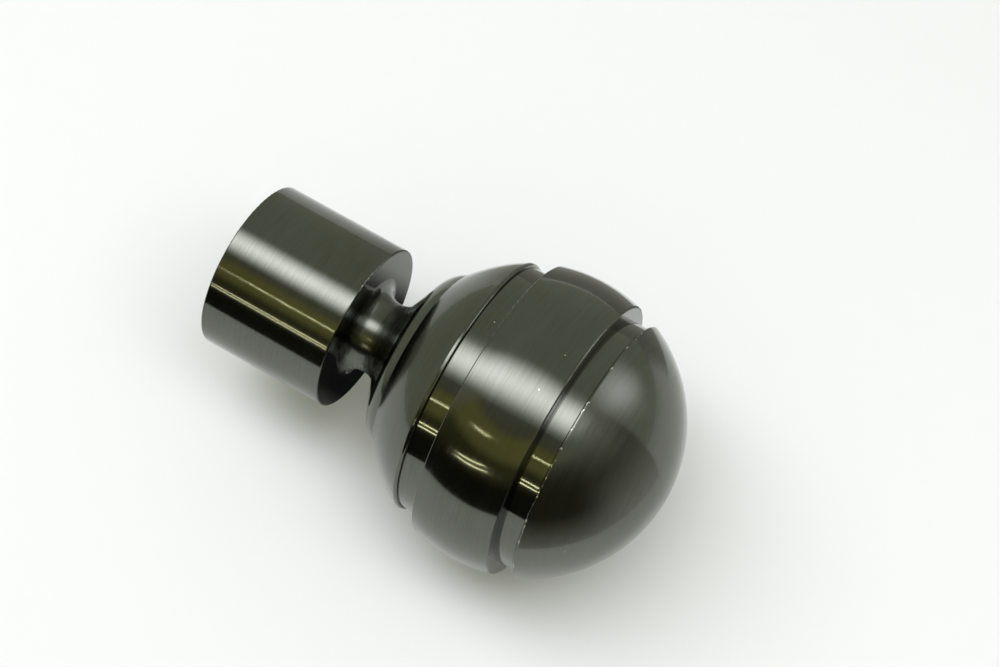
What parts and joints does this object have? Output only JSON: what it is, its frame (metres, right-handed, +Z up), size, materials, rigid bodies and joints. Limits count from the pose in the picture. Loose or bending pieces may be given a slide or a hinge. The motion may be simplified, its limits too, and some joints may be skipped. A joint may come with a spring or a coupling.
{
  "type": "curtain pole finial",
  "caption": "Ball finial for a curtain pole: a socket that caps the pole's end, a narrow neck with a flared collar, and a ball turned with grooves around a raised ring.",
  "frame": {"origin": "centre of the socket's mouth, where the pole enters", "axes": "+X along the pole's axis from the socket's mouth to the tip of the ball, +Z up as it hangs on a level pole, with the grub screw underneath"},
  "size_m": [0.0938, 0.06, 0.06],
  "materials": {
    "gunmetal": "dark gunmetal plating over fine turning lines, polished",
    "screw_steel": "blackened"
  },
  "bodies": {
    "root": {"finial_body": "gunmetal", "grub_screw": "screw_steel"}
  },
  "joints": []
}
